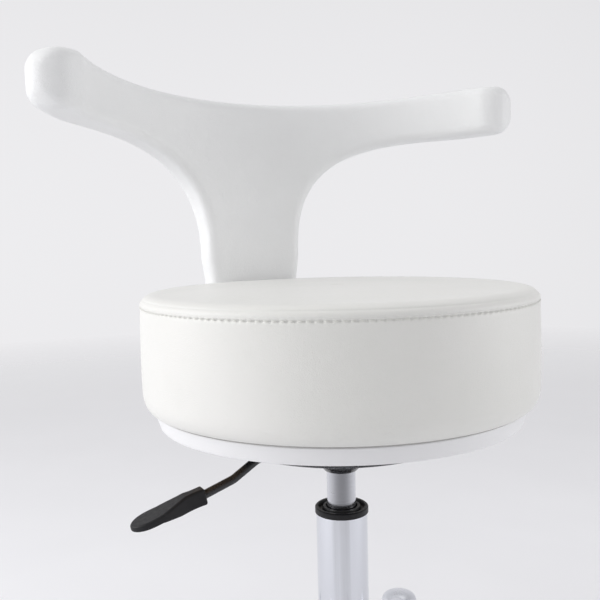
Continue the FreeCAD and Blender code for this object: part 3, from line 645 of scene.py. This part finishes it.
def backrest_field():
    """Field of the backrest in its flattened space: along the curve, depth, height."""
    flat = FlatMap(backrest_outline(), 1.5 * MM)

    def field(spots):
        along, depth, height = spots.T
        thick = pad_thickness(along, height)
        slab = np.abs(depth - thick / 2) - thick / 2
        end = (np.abs(along) / PAD_INNER - PAD_TIP_ANGLE) * (PAD_INNER + depth)
        plan = round_join(slab, end, thick / 2 - 1 * MM)
        share = smooth_step((depth / thick - 0.35) / 0.4)
        rounding = FRONT_ROUND + (np.minimum(BACK_ROUND, thick / 2) - FRONT_ROUND) * share
        return round_join(plan, flat.read(along, height), rounding)

    return field


def bend_round(points):
    """Takes points from the flattened space to the curve about the sitter."""
    angle = points[:, 0] / PAD_INNER
    radius = PAD_INNER + points[:, 1]
    depth = PAD_CENTRE_Y + radius * np.cos(angle)
    return np.stack([radius * np.sin(angle), depth, points[:, 2]], 1)


def make_backrest():
    """The upholstered backrest, one piece from the stem to both arm tips."""
    cell = 2.6 * MM
    field = backrest_field()
    low = (-PAD_REACH - 0.02, -0.012, PAD_LOW.z - 0.012)
    high = (PAD_REACH + 0.02, TIP_DEPTH + 0.012, PAD_HIGH.z + 0.012)
    points, faces = field_surface(field, low, high, cell)
    pad = new_piece("backrest_cushion", bend_round(points), faces, MATERIALS["back_vinyl"])
    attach(pad, "seat")
    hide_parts("backrest_pad")
    make_back_panel_seam(field)


def make_back_panel_seam(field):
    """Fine seam that closes the cover, a thumb's width in from the edge of the back face."""
    # The grey of this thread is partly its own tone and partly painted shade of the seam groove.
    thread = Shader("seam_thread_painted_groove_shade", (0.62, 0.62, 0.62), 0.7)
    thread.bump(thread.noise(2500, 2), 0.00005, 0.6)
    inset = 14 * MM
    half = backrest_outline()
    half = half[half[:, 0] > 0]
    half[:, 0] = np.minimum(half[:, 0], PAD_REACH - 18 * MM)
    run = resample(np.vstack([half, (half * (-1, 1))[::-1]]), 3 * MM)
    ahead = np.roll(run, -3, 0) - np.roll(run, 3, 0)
    ahead /= np.linalg.norm(ahead, axis=1)[:, None]
    run = run + inset * np.stack([-ahead[:, 1], ahead[:, 0]], 1)
    for _ in range(12):
        run = (np.roll(run, 1, 0) + 2 * run + np.roll(run, -1, 0)) / 4
    spots = np.stack([run[:, 0], pad_thickness(*run.T), run[:, 1]], 1)
    for _ in range(8):
        spots = settle(field, spots, 3 * MM)
    seam = tube_along("backrest_panel_seam", bend_round(spots), 0.4 * MM, thread.material)
    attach(seam, "seat")


def resample(path, step):
    """Evenly spaced points along a closed path."""
    path = np.vstack([path, path[:1]])
    lengths = np.linalg.norm(np.diff(path, axis=0), axis=1)
    total = np.concatenate([[0], np.cumsum(lengths)])
    count = max(int(total[-1] / step), 8)
    at = np.linspace(0, total[-1], count, endpoint=False)
    return np.stack([np.interp(at, total, path[:, axis]) for axis in range(path.shape[1])], 1)


def tube_along(name, path, radius, material):
    """Thin round cord through the points of a closed path."""
    sides = 6
    count = len(path)
    ahead = np.roll(path, -1, 0) - np.roll(path, 1, 0)
    ahead /= np.linalg.norm(ahead, axis=1)[:, None]
    guide = np.cross(ahead, (0.13, 0.31, 0.94))
    guide /= np.linalg.norm(guide, axis=1)[:, None]
    other = np.cross(ahead, guide)
    turns = np.arange(sides) * 2 * math.pi / sides
    cosines, sines = np.cos(turns)[None, :, None], np.sin(turns)[None, :, None]
    ring = guide[:, None] * cosines + other[:, None] * sines
    points = (path[:, None] + radius * ring).reshape(-1, 3)
    faces = []
    for row in range(count):
        here, there = row * sides, (row + 1) % count * sides
        for side in range(sides):
            after = (side + 1) % sides
            faces.append((here + side, here + after, there + after, there + side))
    return new_piece(name, points, faces, material)


# ---------------------------------------------------------------- stage, light and camera
CAMERA_TURN = math.radians(30.65)
CAMERA_DISTANCE = 716.7 * MM
CAMERA_HEIGHT = 548.3 * MM
CAMERA_PITCH = math.radians(4.89)
CAMERA_YAW = math.radians(-2.86)
CAMERA_ROLL = math.radians(1.42)
CAMERA_LENS = 45.1


def make_camera():
    """Camera fitted to the view: turned about the stool, then pitched, yawed and rolled."""
    back = Vector((-math.sin(CAMERA_TURN), -math.cos(CAMERA_TURN), 0))
    heading = CAMERA_TURN + CAMERA_YAW
    level = Vector((math.sin(heading), math.cos(heading), 0))
    right = Vector((math.cos(heading), -math.sin(heading), 0))
    up = Vector((0, 0, 1))
    forward = level * math.cos(CAMERA_PITCH) - up * math.sin(CAMERA_PITCH)
    top = level * math.sin(CAMERA_PITCH) + up * math.cos(CAMERA_PITCH)
    side = right * math.cos(CAMERA_ROLL) - top * math.sin(CAMERA_ROLL)
    top = right * math.sin(CAMERA_ROLL) + top * math.cos(CAMERA_ROLL)
    data = bpy.data.cameras.new("camera")
    data.lens = CAMERA_LENS
    data.sensor_width = 36
    camera = bpy.data.objects.new("camera", data)
    turn = Matrix((side, top, -forward)).transposed().to_4x4()
    turn.translation = back * CAMERA_DISTANCE + up * CAMERA_HEIGHT
    camera.matrix_world = turn
    bpy.context.collection.objects.link(camera)
    bpy.context.scene.camera = camera


def area_light(name, place, target, size, power):
    """Soft box of size (width, height) in metres, aimed at target."""
    data = bpy.data.lights.new(name, "AREA")
    data.shape = "RECTANGLE"
    data.size, data.size_y = size
    data.energy = power
    light = bpy.data.objects.new(name, data)
    light.location = place
    light.rotation_mode = "QUATERNION"
    light.rotation_quaternion = (Vector(target) - Vector(place)).to_track_quat("-Z", "Y")
    bpy.context.collection.objects.link(light)


# Brightness of the surround, seen from the camera, and power of the soft boxes in watts.
SURROUND = {"ahead": 0.85, "behind": 0.5, "left": 0.92, "right": 0.6, "above": 0.45, "below": 0.5}
SURROUND_TINT = (0.985, 0.98, 1.0)
BOX_POWER = {"left": 25.7, "right": 5.4, "top": 7.0, "near": 2.5}


def make_world():
    """Smooth pale surround, with its own brightness towards each of six sides."""
    world = bpy.data.worlds.new("studio")
    bpy.context.scene.world = world
    world.use_nodes = True
    tree = world.node_tree

    def math_node(operation, *values):
        made = tree.nodes.new("ShaderNodeMath")
        made.operation = operation
        for socket, value in zip(made.inputs, values):
            if isinstance(value, (int, float)):
                socket.default_value = value
            else:
                tree.links.new(value, socket)
        return made.outputs["Value"]

    place = tree.nodes.new("ShaderNodeTexCoord")
    ahead = Vector((math.sin(CAMERA_TURN), math.cos(CAMERA_TURN), 0))
    right = Vector((math.cos(CAMERA_TURN), -math.sin(CAMERA_TURN), 0))
    up = Vector((0, 0, 1))
    sides = {
        "ahead": ahead, "behind": -ahead, "left": -right, "right": right, "above": up, "below": -up,
    }
    total = 0
    for name, axis in sides.items():
        facing = tree.nodes.new("ShaderNodeVectorMath")
        facing.operation = "DOT_PRODUCT"
        facing.inputs[1].default_value = axis
        tree.links.new(place.outputs["Generated"], facing.inputs[0])
        only = math_node("MAXIMUM", facing.outputs["Value"], 0)
        square = math_node("MULTIPLY", only, only)
        total = math_node("MULTIPLY_ADD", square, SURROUND[name], total)
    background = tree.nodes["Background"]
    background.inputs["Color"].default_value = (*SURROUND_TINT, 1)
    tree.links.new(total, background.inputs["Strength"])


def make_stage():
    """Plain pale floor that melts into the surround a few steps away."""
    shader = Shader("floor", (0.87, 0.87, 0.89), 0.9)
    shader.vary_color(shader.noise(3, 2), 0.3, 0.7, (0.86, 0.86, 0.88), (0.88, 0.88, 0.90))
    away = shader.node("ShaderNodeVectorMath", operation="LENGTH")
    shader.link(shader.place, away.inputs[0])
    fade = shader.ramp(away.outputs["Value"], 0.7, 3.8, 1.0, 0.0)
    shader.link(fade, shader.surface.inputs["Alpha"])
    reach = 3.9
    corners = [(x * reach, y * reach, 0) for x, y in ((-1, -1), (1, -1), (1, 1), (-1, 1))]
    floor = new_piece("floor", corners, [(0, 1, 2, 3)], shader.material, smooth=False)


def make_lights():
    """Large soft boxes at both sides, above, and behind the camera."""
    target = (0, 0, 0.5)
    area_light("left_box", (-1.9, 0.5, 1.3), target, (1.4, 1.8), BOX_POWER["left"])
    area_light("right_box", (1.25, -0.8, 0.65), (0, 0, 0.42), (0.9, 0.7), BOX_POWER["right"])
    area_light("top_box", (0.2, 0.4, 2.3), target, (2.0, 2.0), BOX_POWER["top"])
    area_light("near_box", (-1.3, -1.7, 1.5), target, (1.6, 1.2), BOX_POWER["near"])


finish_cad_nodes()
make_camera()
make_world()
make_stage()
make_lights()
make_seat()
make_backrest()
bpy.context.scene.view_settings.view_transform = "Standard"
